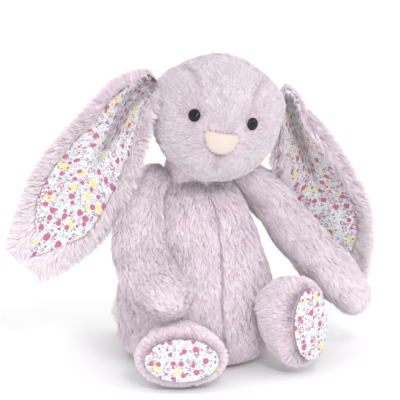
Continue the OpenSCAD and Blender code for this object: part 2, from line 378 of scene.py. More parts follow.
def tufts(points, pitch, rng):
    """The number of the tuft that each point belongs to: the nearest of a jittered grid."""
    jitter = rng.random((8192, 3))
    nearest = np.full(len(points), np.inf)
    home = np.zeros(len(points), np.int64)
    cell = np.floor(points / pitch).astype(np.int64)
    for offset in itertools.product((-1, 0, 1), repeat=3):
        c = cell + offset
        key = (c[:, 0] * 73856093) ^ (c[:, 1] * 19349663) ^ (c[:, 2] * 83492791)
        centre = (c + jitter[key % len(jitter)]) * pitch
        away = ((points - centre) ** 2).sum(1)
        closer = away < nearest
        nearest[closer] = away[closer]
        home[closer] = key[closer]
    return np.unique(home, return_inverse=True)[1]


def mean_of(values, home):
    """The mean over each point's tuft."""
    count = np.bincount(home)
    means = np.stack([np.bincount(home, values[:, k]) / count for k in range(3)], 1)
    return means[home]


def grow_pile(name, body, skin, coat, materials, seed, pieces=1):
    """Makes the pile on a skin as flat tapered strands, in one or more pieces, and gives the
    last of them. Pile with no body of its own is left unattached."""
    cut = bpy.context.scene.rabbit_pile
    rng = np.random.default_rng(cut.seed * 1000 + seed)
    a, b, c = (skin.points[skin.faces[:, k]] for k in range(3))
    area = np.linalg.norm(np.cross(b - a, c - a), axis=1) / 2
    area *= skin.dense[skin.faces].mean(1)
    count = int(area.sum() / MM**2 * coat.per_mm2 * cut.strands)
    pick = rng.choice(len(area), count, p=area / area.sum())
    u, v = rng.random((2, count))
    u, v = np.where(u + v > 1, 1 - u, u), np.where(u + v > 1, 1 - v, v)
    weights = np.stack([1 - u - v, u, v], 1)
    corners = skin.faces[pick]

    def at(values):
        shares = weights if values.ndim == 1 else weights[..., None]
        return (values[corners] * shares).sum(1)

    root, normal = at(skin.points), unit(at(skin.normals))
    nap = unit(at(skin.nap)) + coat.stray * (0.30 * sway(root, 28 * MM, seed + 1)
                                             + 0.20 * sway(root, 7 * MM, seed + 2))
    nap = unit(nap - normal * dot(nap, normal))
    rise = coat.rise * at(skin.rise) * (1 + 0.25 * ripple(root, 9 * MM, seed + 3))
    rise = np.clip(rise + rng.normal(0, 0.12, count), 0.05, 1.5)[:, None]
    low = unit(nap * np.cos(rise + 0.35) + normal * np.sin(rise + 0.35))
    high = unit(nap * np.cos(rise - 0.25) + normal * np.sin(rise - 0.25) - UP * 0.10)
    length = (coat.length * at(skin.long) * rng.uniform(0.72, 1.12, count))[:, None]
    start = root - normal * 0.8 * MM
    middle = start + low * length * 0.5
    tip = middle + high * length * 0.5

    home = tufts(root, coat.tuft, rng)
    pull = coat.gather * rng.uniform(0.4, 1, (count, 1))
    middle += (mean_of(middle, home) - middle) * pull * 0.35
    tip += (mean_of(tip, home) - tip) * pull

    across = unit(np.cross(high, normal))
    roll = rng.uniform(-0.9, 0.9, (count, 1))
    across = across * np.cos(roll) + np.cross(high, across) * np.sin(roll)
    half = coat.width / 2 * rng.uniform(0.7, 1.25, (count, 1))
    strands = np.stack([start - across * half, start + across * half,
                        middle - across * half * 0.9, middle + across * half * 0.9, tip], 1)
    strands[..., 2] = np.maximum(strands[..., 2], 0.3 * MM)

    tuft_tone = rng.normal(0, 0.55, home.max() + 1)[home]
    tone = at(skin.tone) + tuft_tone + rng.normal(0, 0.6, count)
    last = len(materials) - 1
    # Root faces take darker shades than tip faces: painted shade deep in the pile.
    shades = np.stack([tone + 1.2, tone + 1.2, tone + 2.7], 1)
    shades = np.clip(np.round(shades), 0, last).astype(np.int32)

    order = np.argsort(root[:, 0] + 0.3 * root[:, 1])
    for k, part in enumerate(np.array_split(order, pieces)):
        base = np.arange(len(part))[:, None, None] * 5
        faces = (base + np.array([[0, 1, 3], [0, 3, 2], [2, 3, 4]])).reshape(-1, 3)
        title = name if pieces == 1 else f"{name}_{k + 1}"
        pile = new_piece(title, strands[part].reshape(-1, 3), faces, materials)
        pile.data.polygons.foreach_set("material_index", shades[part].ravel())
        if body:
            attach(pile, body)
    return pile


def new_piece(name, points, faces, materials, smooth=True):
    """A mesh object from points and faces."""
    mesh = bpy.data.meshes.new(name)
    mesh.from_pydata(points.astype(float), [], faces, shade_flat=not smooth)
    for material in materials:
        mesh.materials.append(material)
    piece = bpy.data.objects.new(name, mesh)
    bpy.context.scene.collection.objects.link(piece)
    return piece


def backing_piece(name, body, skin, material, nodes):
    """The woven backing that the pile stands on, stuffed firm, in place of plain solids."""
    piece = new_piece(name, skin.points, skin.faces, [material])
    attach(piece, body)
    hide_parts(*nodes)
    return piece


# ---------- materials ----------


class Shader:
    """A material whose nodes are made by short calls."""

    def __init__(self, name):
        self.material = bpy.data.materials.new(name)
        self.material.use_nodes = True
        self.tree = self.material.node_tree
        self.surface = self.tree.nodes["Principled BSDF"]

    def add(self, kind, settings=(), **sockets):
        """A node, with its settings and the values or links of its sockets."""
        node = self.tree.nodes.new("ShaderNode" + kind)
        for key, value in dict(settings).items():
            setattr(node, key, value)
        for key, value in sockets.items():
            self.feed(node.inputs[key.replace("_", " ")], value)
        return node

    def feed(self, socket, value):
        """Sets a socket, or links it where the value is another node's output."""
        if isinstance(value, bpy.types.NodeSocket):
            self.tree.links.new(value, socket)
        elif socket.type == "RGBA":
            socket.default_value = (*value, 1)
        else:
            socket.default_value = value

    def math(self, operation, *values):
        """A Math node's result."""
        node = self.tree.nodes.new("ShaderNodeMath")
        node.operation = operation
        for socket, value in zip(node.inputs, values):
            self.feed(socket, value)
        return node.outputs[0]

    def mix(self, share, a, b):
        """A blend of two colours."""
        node = self.tree.nodes.new("ShaderNodeMix")
        node.data_type = "RGBA"
        self.feed(node.inputs[0], share)
        self.feed(node.inputs[6], a)
        self.feed(node.inputs[7], b)
        return node.outputs[2]

    def noise(self, scale, detail=3.0, vector=None):
        """The height of a noise pattern."""
        node = self.add("TexNoise", Scale=scale, Detail=detail)
        self.feed(node.inputs["Vector"], vector or self.place())
        return node.outputs[0]

    def place(self):
        """The place on the object."""
        return self.add("TexCoord").outputs["Object"]

    def bump(self, height, depth):
        """Bumps the surface by a height pattern, up to depth metres."""
        node = self.add("Bump", Strength=1.0, Distance=depth)
        self.feed(node.inputs["Height"], height)
        self.feed(self.surface.inputs["Normal"], node.outputs[0])

    def finish(self, **sockets):
        """Sets plain sockets of the surface."""
        for key, value in sockets.items():
            self.feed(self.surface.inputs[key.replace("_", " ")], value)
        return self.material


def between(dark, light, share):
    """A colour part of the way from dark to light."""
    return tuple(np.array(dark) * (1 - share) + np.array(light) * share)


def pile_materials(name, dark, light, shades=6):
    """The shades of the strands, from dark to light. Roots take darker shades than tips, as painted
    shade deep in the pile.
    """
    made = []
    for k in range(shades):
        shader = Shader(f"{name}_shade_{k + 1}")
        colour = between(dark, light, (k / (shades - 1)) ** 0.75)
        made.append(shader.finish(Base_Color=colour, Roughness=0.85, Specular_IOR_Level=0.2,
                                  Sheen_Weight=0.2, Sheen_Roughness=0.5))
    return made


def backing_material(name, colour):
    """Knitted backing: fine ribs and a mottled dye."""
    shader = Shader(name)
    mottle = shader.noise(220, 4)
    dye = shader.mix(mottle, between((0, 0, 0), colour, 0.8), colour)
    knit = shader.noise(2600, 2)
    shader.bump(knit, 0.3 * MM)
    return shader.finish(Base_Color=dye, Roughness=0.95, Specular_IOR_Level=0.1)


def suede_material(colour):
    """Brushed suede: a fine nap with soft patches."""
    shader = Shader("nose_suede")
    patches = shader.noise(160, 4)
    fine = shader.noise(1900, 5)
    base = shader.mix(patches, between((0, 0, 0), colour, 0.90), colour)
    fibre = shader.math("MULTIPLY", fine, 0.35)
    base = shader.mix(fibre, base, between(colour, (1, 1, 1), 0.5))
    shader.bump(fine, 0.35 * MM)
    rough = shader.math("ADD", shader.math("MULTIPLY", fine, 0.15), 0.78)
    return shader.finish(Base_Color=base, Roughness=rough, Specular_IOR_Level=0.2,
                         Sheen_Weight=0.12, Sheen_Roughness=0.4)


def thread_material(colour):
    """Twisted sewing thread."""
    shader = Shader("nose_thread")
    twist = shader.noise(3000, 2)
    base = shader.mix(twist, between((0, 0, 0), colour, 0.7), colour)
    shader.bump(twist, 0.1 * MM)
    return shader.finish(Base_Color=base, Roughness=0.7)


def eye_material(colour):
    """Polished moulded plastic with a faint moulding ripple."""
    shader = Shader("eye_plastic")
    ripples = shader.noise(350, 2)
    rough = shader.math("ADD", shader.math("MULTIPLY", ripples, 0.03), 0.05)
    return shader.finish(Base_Color=colour, Roughness=rough, Specular_IOR_Level=0.35)


def plain_cloth_material(name, colour, scale):
    """Loose fibre or plain cloth, for the pieces inside."""
    shader = Shader(name)
    fibre = shader.noise(scale, 6)
    base = shader.mix(fibre, between((0, 0, 0), colour, 0.85), colour)
    shader.bump(fibre, 0.5 * MM)
    return shader.finish(Base_Color=base, Roughness=0.9)


class Print:
    """Builds the printed cotton: each layer of blossoms is laid over the last."""

    def __init__(self, name, ground):
        self.shader = Shader(name)
        self.cloth = self.shader.add(
            "Attribute", {"attribute_name": "cloth_mm"}).outputs["Vector"]
        self.colour = ground

    def blossoms(self, colour, pitch, radius, chance, seed, petals=0, depth=0.0, heart=None,
                 ring=0):
        """A layer of blossoms about pitch apart, in millimetres. chance is how many cells hold
        one. petals and depth shape the edge, heart colours the middle, and a ring is dots."""
        s = self.shader
        moved = s.add("VectorMath", {"operation": "ADD"})
        s.feed(moved.inputs[0], self.cloth)
        moved.inputs[1].default_value = (seed * 17.3, seed * 9.7, 0)
        bent = s.add("VectorMath", {"operation": "SCALE"})
        s.feed(bent.inputs[0], moved.outputs[0])
        bent.inputs["Scale"].default_value = 1 / pitch
        cells = s.add("TexVoronoi", {"voronoi_dimensions": "2D"}, Scale=1.0, Randomness=0.85)
        s.feed(cells.inputs["Vector"], bent.outputs[0])
        away = s.add("VectorMath", {"operation": "SUBTRACT"})
        s.feed(away.inputs[0], bent.outputs[0])
        s.feed(away.inputs[1], cells.outputs["Position"])
        xy = s.add("SeparateXYZ", Vector=away.outputs[0]).outputs
        luck = s.add("SeparateColor", Color=cells.outputs["Color"]).outputs
        far = s.math("SQRT", s.math("ADD", s.math("MULTIPLY", xy[0], xy[0]),
                                    s.math("MULTIPLY", xy[1], xy[1])))
        angle = s.math("ARCTAN2", xy[1], xy[0])
        angle = s.math("ADD", angle, s.math("MULTIPLY", luck[2], 6.3))
        size = s.math("MULTIPLY_ADD", luck[1], 0.55, 0.6)
        size = s.math("MULTIPLY", size, radius / pitch)
        if petals:
            wave = s.math("COSINE", s.math("MULTIPLY", angle, float(petals)))
            size = s.math("MULTIPLY", size, s.math("MULTIPLY_ADD", wave, depth, 1 - depth))
        share = s.math("DIVIDE", far, size)
        if ring:
            share = self.dots(share, angle, ring)
        inside = s.add("MapRange", {"interpolation_type": "SMOOTHSTEP"}, Value=share,
                       From_Min=1.06, From_Max=0.94).outputs[0]
        chosen = s.math("LESS_THAN", luck[0], chance)
        mask = s.math("MULTIPLY", inside, chosen)
        mottle = s.noise(1.1, 2, self.cloth)
        paint = s.mix(mottle, between((0, 0, 0), colour, 0.78), between(colour, (1, 1, 1), 0.22))
        if heart:
            middle = s.add("MapRange", {"interpolation_type": "SMOOTHSTEP"}, Value=share,
                           From_Min=0.42, From_Max=0.30).outputs[0]
            paint = s.mix(middle, paint, heart)
        self.colour = s.mix(mask, self.colour, paint)

    def dots(self, share, angle, count):
        """How far a point is from the nearest dot of a ring of dots, as a share of a dot."""
        s = self.shader
        turn = 2 * math.pi / count
        near = s.math("SUBTRACT", s.math("FLOORED_MODULO", angle, turn), turn / 2)
        x = s.math("SUBTRACT", s.math("MULTIPLY", share, s.math("COSINE", near)), 0.75)
        y = s.math("MULTIPLY", share, s.math("SINE", near))
        away = s.math("SQRT", s.math("ADD", s.math("MULTIPLY", x, x), s.math("MULTIPLY", y, y)))
        return s.math("DIVIDE", away, 0.27)

    def weave(self):
        """The plain weave under the print."""
        s = self.shader
        xyz = s.add("SeparateXYZ", Vector=self.cloth).outputs
        threads_per_mm = 2.6
        turn = 2 * math.pi * threads_per_mm / 2
        warp = s.math("SINE", s.math("MULTIPLY", xyz[0], turn))
        weft = s.math("SINE", s.math("MULTIPLY", xyz[1], turn))
        return s.math("MULTIPLY", warp, weft)


def printed_material(colours):
    """Fine printed cotton with a generic scatter of small blossoms, buds, leaves and specks."""
    cloth = Print("blossom_print", colours.cotton)
    pale = between(colours.violet, colours.cotton, 0.45)
    leaf = between(colours.mint, colours.cotton, 0.25)
    cloth.blossoms(between(colours.cotton, colours.mint, 0.30), 4.5, 2.6, 0.60, 1, 3, 0.25)
    cloth.blossoms(colours.mint, 1.3, 0.40, 0.55, 2)
    cloth.blossoms(between(colours.violet, colours.cotton, 0.2), 1.5, 0.36, 0.42, 3)
    cloth.blossoms(leaf, 2.7, 0.95, 0.55, 4, 2, 0.45)
    cloth.blossoms(pale, 3.7, 1.6, 0.60, 5, 5, 0.22, between(pale, colours.cotton, 0.7))
    cloth.blossoms(colours.violet, 5.2, 1.55, 0.55, 6, 5, 0.20,
                   between(colours.lemon, colours.cotton, 0.5))
    cloth.blossoms(colours.wine, 2.6, 0.52, 0.38, 7)
    cloth.blossoms(colours.berry, 10.5, 2.3, 0.50, 8, ring=7)
    cloth.blossoms(colours.lemon, 13.0, 3.7, 0.55, 9, 6, 0.16,
                   between(colours.lemon, colours.wine, 0.15))
    cloth.blossoms(between(colours.berry, colours.wine, 0.35), 4.8, 1.05, 0.46, 10, 2, 0.12)
    cloth.blossoms(colours.berry, 8.2, 2.35, 0.55, 11, 3, 0.07)
    weave = cloth.weave()
    shader = cloth.shader
    tone = shader.math("MULTIPLY_ADD", weave, 0.03, 0.03)
    colour = shader.mix(tone, cloth.colour, (0.35, 0.34, 0.40))
    shader.bump(weave, 0.05 * MM)
    return shader.finish(Base_Color=colour, Roughness=0.8, Specular_IOR_Level=0.25,
                         Sheen_Weight=0.15)


def shared(name, make):
    """A material that is made once and then reused."""
    found = bpy.data.materials.get(name)
    return found or make()


def lilac_shades():
    """The shades of the lilac pile."""
    colours = bpy.context.scene.rabbit_colours
    found = [m for m in bpy.data.materials if m.name.startswith("lilac_pile_shade")]
    return found or pile_materials("lilac_pile", colours.pile_dark, colours.pile_light)


def lilac_backing():
    """The lilac backing cloth."""
    colours = bpy.context.scene.rabbit_colours
    return shared("lilac_backing", lambda: backing_material("lilac_backing", colours.backing))


def printed_cotton():
    """The printed cotton of the linings and pads."""
    colours = bpy.context.scene.rabbit_colours
    return shared("blossom_print", lambda: printed_material(colours))


def lay_print(piece, cloth):
    """Keeps each point's place on the flat cloth, in metres, for the print."""
    flat = np.zeros((len(cloth), 3), np.float32)
    flat[:, :2] = cloth / MM
    attribute = piece.data.attributes.new("cloth_mm", "FLOAT_VECTOR", "POINT")
    attribute.data.foreach_set("vector", flat.ravel())


# ---------- torso ----------


def even_line(points, spacing, soften):
    """A polyline with its corners softened and its points evenly spaced."""
    step = np.linalg.norm(np.diff(points, axis=0), axis=1)
    along = np.concatenate([[0], np.cumsum(step)])
    fine = np.linspace(0, along[-1], int(along[-1] / (spacing / 8)))
    line = np.stack([np.interp(fine, along, points[:, k]) for k in range(2)], 1)
    window = max(1, int(soften / (spacing / 8)))
    padded = np.pad(line, ((window, window), (0, 0)), mode="reflect", reflect_type="odd")
    kernel = np.hanning(2 * window + 1)
    line = np.stack([np.convolve(padded[:, k], kernel / kernel.sum(), "valid")
                     for k in range(2)], 1)
    return line[:: 8]


def groove(away, depth, width):
    """How far a sewn seam pulls the cloth in, at a distance from it."""
    return -depth * np.exp(-((away / width) ** 2))


class RABBIT_OT_torso(bpy.types.Operator):
    """Makes the pear-shaped torso with its seams and its pile"""

    bl_idname = "plush_rabbit.torso"
    bl_label = "Torso"

    def execute(self, context):
        sizes, cut = context.scene.rabbit_sizes, context.scene.rabbit_pile
        low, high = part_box("body_left_panel")
        radius, height = high.x, high.z
        middle_y = (low.y + high.y) / 2
        shares = np.array(TORSO_OUTLINE)
        line = even_line(shares[:, ::-1] * (radius, height), 1.6 * MM, 6 * MM)[2:-2]
        a = np.linspace(0, 2 * math.pi, 200, endpoint=False)
        rings = np.stack([line[:, :1] * np.sin(a), middle_y - line[:, :1] * np.cos(a),
                          line[:, 1:] + 0 * a], -1)
        skin = closed_skin(rings, np.array([0, middle_y, 0.0]), np.array([0, middle_y, height]))
        x, y, z = skin.points.T
        front, back = y < middle_y, y > middle_y
        wander = 2.0 * MM * np.sin(z / (19 * MM) + 2.4) - 1.0 * MM
        seam = np.where(front, np.abs(x - wander), 1.0)
        depth = groove(seam, 3.4 * MM, 2.4 * MM) * smoothstep(z, 0.004, 0.02)
        depth += back * groove(x, 2.0 * MM, 2.6 * MM)
        depth += groove(y - middle_y - 6 * MM, 1.4 * MM, 2.6 * MM) * (z < 0.9 * height)
        depth += 0.9 * MM * ripple(skin.points, 46 * MM, 5) * smoothstep(z, 0.002, 0.02)
        skin.push(depth - sizes.backing)
        skin.points[:, 2] = np.maximum(skin.points[:, 2], 0.4 * MM)
        skin.measure()
        skin.nap = np.tile(-UP, (len(skin.points), 1))
        skin.nap += unit(skin.points - [0, middle_y, 0]) * 0.25 * smoothstep(-z, -0.03, 0)[:, None]
        under = smoothstep(z, 0.001, 0.010)
        skin.dense = (0.15 + 0.85 * under) * smoothstep(seam, 0.4 * MM, 1.3 * MM)
        parting = np.exp(-((seam / (2.2 * MM)) ** 2))
        skin.long = (0.6 + 0.4 * under) * (1 - 0.35 * parting)
        # Strands along the front seam take darker shades: painted shade in the seam's parting.
        skin.tone = -2.6 * np.exp(-((seam / (1.3 * MM)) ** 2))
        skin.nap += np.sign(x - wander)[:, None] * [1, 0, 0] * 1.1 * parting[:, None]
        backing_piece("body_plush", "torso", skin, lilac_backing(),
                      ["body_left_panel", "body_right_panel", "body_stuffing"])
        coat = Coat(cut.body_length, 4.8, tuft=2.8 * MM)
        grow_pile("body_pile", "torso", skin, coat, lilac_shades(), 10, 3)
        return {"FINISHED"}


class RABBIT_OT_neck(bpy.types.Operator):
    """Makes the short plush neck, sewn to the torso and to the underside of the head"""

    bl_idname = "plush_rabbit.neck"
    bl_label = "Neck"

    def execute(self, context):
        sizes, cut = context.scene.rabbit_sizes, context.scene.rabbit_pile
        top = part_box("body_left_panel")[1].z
        t = crowded(42)[1:-1]
        a = np.linspace(0, 2 * math.pi, 120, endpoint=False)
        middle = np.stack([1 * MM * t, 2 * MM - 9 * MM * t, top - 36 * MM + 53 * MM * t], 1)
        swell = blunt(t, 2, 4)
        wide = (27 - t) * MM * swell
        deep = (21 - t) * MM * swell
        rings = middle[:, None] + np.stack([wide[:, None] * np.cos(a), deep[:, None] * np.sin(a),
                                            0 * wide[:, None] * a], -1)
        skin = closed_skin(rings, middle[0] - UP * MM, middle[-1] + UP * MM)
        skin.push(0.8 * MM * ripple(skin.points, 26 * MM, 15) - sizes.backing)
        skin.nap = np.tile(-UP, (len(skin.points), 1))
        skin.dense = smoothstep(1 - np.abs(skin.normals[:, 2]), 0.05, 0.3)
        skin.long *= 0.6
        skin.rise *= 0.6
        cover = new_piece("neck_cover", skin.points, skin.faces, [lilac_backing()])
        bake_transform(cover)
        coat = Coat(cut.body_length, 4.6, tuft=2.8 * MM)
        pile = grow_pile("neck_pile", None, skin, coat, lilac_shades(), 15)
        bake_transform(pile)
        return {"FINISHED"}


# ---------- head ----------


def head_axes(sizes):
    """The head's own axes, as columns: its left, its back and its crown."""
    a, b = -sizes.head_turn, sizes.head_tilt
    turn = np.array([[math.cos(a), -math.sin(a), 0], [math.sin(a), math.cos(a), 0], [0, 0, 1]])
    tilt = np.array([[math.cos(b), 0, math.sin(b)], [0, 1, 0], [-math.sin(b), 0, math.cos(b)]])
    return turn @ tilt


def on_head(sizes, points):
    """Points of the upright head, put in place."""
    return points @ head_axes(sizes).T + np.array(sizes.head_place)


def off_head(sizes, points):
    """Points in place, taken back to the upright head."""
    return (points - np.array(sizes.head_place)) @ head_axes(sizes)


def nose_reach(sizes, angle):
    """How far the nose's edge is from its middle at an angle: an oval with two upper corners."""
    corner = 3.6 * MM
    half, tall = sizes.nose_width / 2, sizes.nose_height / 2
    phi = np.linspace(-math.pi, math.pi, 361)
    ends = np.abs(np.cos(phi)) * (half - corner) + np.sin(phi) * (tall - corner) + corner
    middle = np.hypot(np.cos(phi) * half * 0.86, np.sin(phi) * tall)
    wide = np.maximum(ends, middle)
    lean = np.cos(phi - np.asarray(angle)[..., None])
    return np.where(lean > 0.05, wide / np.maximum(lean, 0.05), np.inf).min(-1)


def nose_share(sizes, local):
    """0 in the middle of the nose, 1 at its edge and more outside it."""
    x, z = local[:, 0], local[:, 2] - sizes.muzzle_place[2]
    return np.hypot(x, z) / nose_reach(sizes, np.arctan2(z, x))


def muzzle_front(sizes, x, z):
    """The front of the muzzle over a point of the upright face."""
    place, r = sizes.muzzle_place, sizes.muzzle_radius
    return place[1] - np.sqrt(np.maximum(r * r - x * x - (z - place[2]) ** 2, 0))


def eye_places(sizes):
    """Where the eyes meet the face, on the upright head."""
    places = []
    for node in ("left_eye", "right_eye"):
        points = np.array([v.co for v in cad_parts[node].data.vertices], float)
        local = off_head(sizes, points)
        places.append(unit(local[np.linalg.norm(local, axis=1).argmax()]) * EYE_SEAT)
    return places


def line_away(points, line):
    """How far points are from a polyline."""
    best = np.full(len(points), np.inf)
    for a, b in zip(line[:-1], line[1:]):
        t = np.clip((points - a) @ (b - a) / ((b - a) @ (b - a)), 0, 1)
        best = np.minimum(best, np.linalg.norm(points - a - t[:, None] * (b - a), axis=1))
    return best


def pleats(local, centre, count, near, far):
    """How deep a point lies in the gathers that run outwards from a centre on the face."""
    x, z = (local - centre)[:, 0], (local - centre)[:, 2]
    away = np.hypot(x, z)
    turn = count * np.arctan2(z, x) + 1.4 * ripple(local, 9 * MM, count)
    fade = smoothstep(away, 0.8 * near, near) * (1 - smoothstep(away, near, far))
    return fade * np.maximum(np.cos(turn), 0) ** 2 * (local[:, 1] < 0)


def head_skin(sizes):
    """The head and muzzle as one crowned form, drawn upright."""
    sides = 210
    around = sphere_ways(152, sides)
    ways = np.concatenate([[[0, 0, 1]], around.reshape(-1, 3), [[0, 0, -1]]])
    skull = 1 / np.linalg.norm(ways / np.array(sizes.head_half), axis=1)
    muzzle = np.array(sizes.muzzle_place)
    lean = ways @ muzzle
    cheek = lean + np.sqrt(lean**2 - muzzle @ muzzle + sizes.muzzle_radius**2)
    soft = 2.2 * MM
    reach = soft * np.log(np.exp(skull / soft) + np.exp(cheek / soft))
    points = ways * reach[:, None]
    return closed_skin(points[1:-1].reshape(-1, sides, 3), points[0], points[-1])


class RABBIT_OT_head(bpy.types.Operator):
    """Makes the round head with its muzzle, eye hollows, darts and pile"""

    bl_idname = "plush_rabbit.head"
    bl_label = "Head"

    def execute(self, context):
        sizes, cut = context.scene.rabbit_sizes, context.scene.rabbit_pile
        colours = context.scene.rabbit_colours
        skin = head_skin(sizes)
        local = skin.points
        x, y = local[:, 0], local[:, 1]
        nose = np.array([0, muzzle_front(sizes, 0, sizes.muzzle_place[2]), sizes.muzzle_place[2]])
        eyes = eye_places(sizes)
        depth = np.zeros(len(local))
        nap = unit(local - nose)
        for eye in eyes:
            away = np.linalg.norm(local - eye, axis=1)
            depth += groove(away, 1.3 * MM, 8 * MM)
            nap += unit(local - eye) * (1.5 * np.exp(-((away / (9 * MM)) ** 2)))[:, None]
            skin.long *= 1 - 0.42 * np.exp(-((away / (8 * MM)) ** 2))
            # Strands round each eye take darker shades, as painted shade in the eye hollow, and
            # darker still in the gathers, as painted shade in their grooves.
            skin.tone -= 0.9 * np.exp(-((away / (7.5 * MM)) ** 2))
            gather = pleats(local, eye, 13, 5 * MM, 13 * MM)
            skin.tone -= 2.4 * gather
            depth -= 0.6 * MM * gather
            skin.dense *= smoothstep(away, 3.4 * MM, 4.4 * MM)
        for side in (-1, 1):
            dart = np.array([[side * 22, -35, 14], [side * 20, -33, 20], [side * 21, -29, 27],
                             [side * 26, -17, 34], [side * 31, -3, 36]]) * MM
            seam = line_away(local, dart)
            depth += groove(seam, 2.6 * MM, 2.2 * MM)
            # Strands along each dart take darker shades: painted shade in the dart's groove.
            skin.tone -= 1.8 * np.exp(-((seam / (1.5 * MM)) ** 2))
            skin.long *= 1 - 0.4 * np.exp(-((seam / (2 * MM)) ** 2))
            skin.dense *= 0.25 + 0.75 * smoothstep(seam, 0.3 * MM, 1.1 * MM)
        mouth = np.array([[0, -45, -17], [0, -42, -24], [0, -37, -31]]) * MM
        crease = line_away(local, mouth)
        depth += groove(crease, 2.4 * MM, 2.4 * MM)
        nap[:, 0] += np.sign(x) * 0.8 * np.exp(-((crease / (4 * MM)) ** 2))
        # Strands in the mouth crease take darker shades: painted shade in the crease.
        skin.tone -= 1.4 * np.exp(-((crease / (1.8 * MM)) ** 2))
        gather = pleats(local, nose, 21, 10 * MM, 19 * MM)
        # Strands in the gathers round the nose take darker shades, as painted shade in the grooves,
        # and the whole head is half a shade darker, as painted shade against the lamps.
        skin.tone -= 2.0 * gather + 0.5
        depth -= 0.5 * MM * gather
        share = nose_share(sizes, local)
        front = y < 0
        bare = front & (share < 0.96)
        skin.dense[bare] = 0
        close = front * np.exp(-(np.maximum(share - 1, 0) / 0.5) ** 2)
        skin.long *= 1 - 0.45 * close
        skin.rise = 1 + 0.35 * close
        depth += 0.5 * MM * ripple(local, 30 * MM, 21)
        for path in (LEFT_EAR_PATH, RIGHT_EAR_PATH):
            away = np.linalg.norm(local - off_head(sizes, path[0]), axis=1)
            depth -= groove(away, 5.5 * MM, 15 * MM)
        skin.push(depth - sizes.backing)
        skin.nap = unit(nap) @ head_axes(sizes).T
        skin.points = on_head(sizes, skin.points)
        skin.measure()
        backing_piece("head_plush", "head", skin, lilac_backing(),
                      ["head_left_panel", "head_right_panel", "head_gusset", "head_stuffing"])
        coat = Coat(cut.head_length, 5.4, 0.33 * MM, 0.40, 2.2 * MM, 0.45, stray=0.6)
        # The head's strands take the darker, greyer copy of the lilac shades: painted shade for the
        # head's lighting.
        shades = pile_materials("head_pile", colours.shaded_head_dark, colours.shaded_head_light)
        grow_pile("head_pile", "head", skin, coat, shades, 20, 2)
        return {"FINISHED"}


class RABBIT_OT_nose(bpy.types.Operator):
    """Makes the suede nose and the stitches round it"""

    bl_idname = "plush_rabbit.nose"
    bl_label = "Nose"

    def execute(self, context):
        sizes, colours = context.scene.rabbit_sizes, context.scene.rabbit_colours
        shares = np.concatenate([np.linspace(0.03, 0.9, 26), 0.9 + 0.1 * np.sin(
            np.linspace(0.1, math.pi / 2, 12))])
        a = np.linspace(-math.pi, math.pi, 180, endpoint=False)
        reach = nose_reach(sizes, a) + 0.12 * MM * np.cos(19 * a)
        x = shares[:, None] * reach * np.cos(a)
        z = shares[:, None] * reach * np.sin(a) + sizes.muzzle_place[2]
        puff = 1.9 * MM * np.sqrt(1 - np.minimum(shares, 0.999) ** 5)[:, None] + 0.6 * MM * (
            1 - shares[:, None] ** 2)
        y = muzzle_front(sizes, x, z) - puff
        front = np.stack([x, y, z], -1)
        back = np.stack([x[::-1], muzzle_front(sizes, x, z)[::-1] + 1.6 * MM, z[::-1]], -1)[1:]
        rings = np.concatenate([front, back])
        tip = muzzle_front(sizes, 0, sizes.muzzle_place[2])
        skin = closed_skin(rings, np.array([0, tip - 2.5 * MM, sizes.muzzle_place[2]]),
                           np.array([0, tip + 1.6 * MM, sizes.muzzle_place[2]]))
        piece = new_piece("nose_patch", on_head(sizes, skin.points), skin.faces,
                          [suede_material(colours.suede)])
        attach(piece, "head")
        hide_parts("nose")
        self.stitches(sizes, colours)
        return {"FINISHED"}

    def stitches(self, sizes, colours):
        """Short stitches across the nose's edge."""
        count, points, faces = 22, [], []
        for k in range(count):
            a = 2 * math.pi * (k + 0.5) / count
            reach = float(nose_reach(sizes, np.array(a)))
            ends = []
            for out in (-0.7 * MM, 1.6 * MM):
                x = (reach + out) * math.cos(a)
                z = (reach + out) * math.sin(a) + sizes.muzzle_place[2]
                lift = 0.9 * MM if out < 0 else 0.2 * MM
                ends.append([x, float(muzzle_front(sizes, x, z)) - lift, z])
            path = np.array([ends[0], np.mean(ends, axis=0) + [0, -0.5 * MM, 0], ends[1]])
            thread = limb_skin(path, (0.22 * MM, 0.22 * MM), (0.2 * MM, 0.2 * MM), 0, (2, 2), 10, 8)
            faces.append(thread.faces + sum(len(p) for p in points))
            points.append(thread.points)
        piece = new_piece("nose_stitches", on_head(sizes, np.concatenate(points)),
                          np.concatenate(faces), [thread_material(colours.thread)])
        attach(piece, "head")


class RABBIT_OT_eyes(bpy.types.Operator):
    """Turns the two glossy safety eyes, each a dome on a stalk"""

    bl_idname = "plush_rabbit.eyes"
    bl_label = "Eyes"

    def execute(self, context):
        sizes = context.scene.rabbit_sizes
        material = eye_material(context.scene.rabbit_colours.eye)
        for side, place in zip(("left", "right"), eye_places(sizes)):
            skin = self.button(sizes.eye_radius, place)
            piece = new_piece(f"{side}_eye_button", on_head(sizes, skin.points), skin.faces,
                              [material])
            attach(piece, "head")
            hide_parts(f"{side}_eye")
        return {"FINISHED"}

    def button(self, radius, place):
        """A dome with a rounded rim on a stalk, along the eye's own axis."""
        stalk, length, rim, flat = 2 * MM, 9 * MM, 0.35 * MM, 0.5
        a = np.linspace(0, math.pi / 2, 30)[:-1]
        profile = np.concatenate([
            [[stalk * 0.9, -length], [stalk, -length + rim], [stalk, -rim], [radius - rim, -rim]],
            np.stack([radius * np.cos(a), radius * flat * np.sin(a)], 1)])
        out = unit(place)
        across = unit(np.cross(out, UP))
        up = np.cross(across, out)
        turn = np.linspace(0, 2 * math.pi, 72, endpoint=False)[:, None]
        ring = across * np.cos(turn) + up * np.sin(turn)
        base = out * EYE_BASE
        rings = base + ring * profile[:, :1, None] + out * profile[:, 1:, None]
        return closed_skin(rings, base - out * length, base + out * radius * flat)


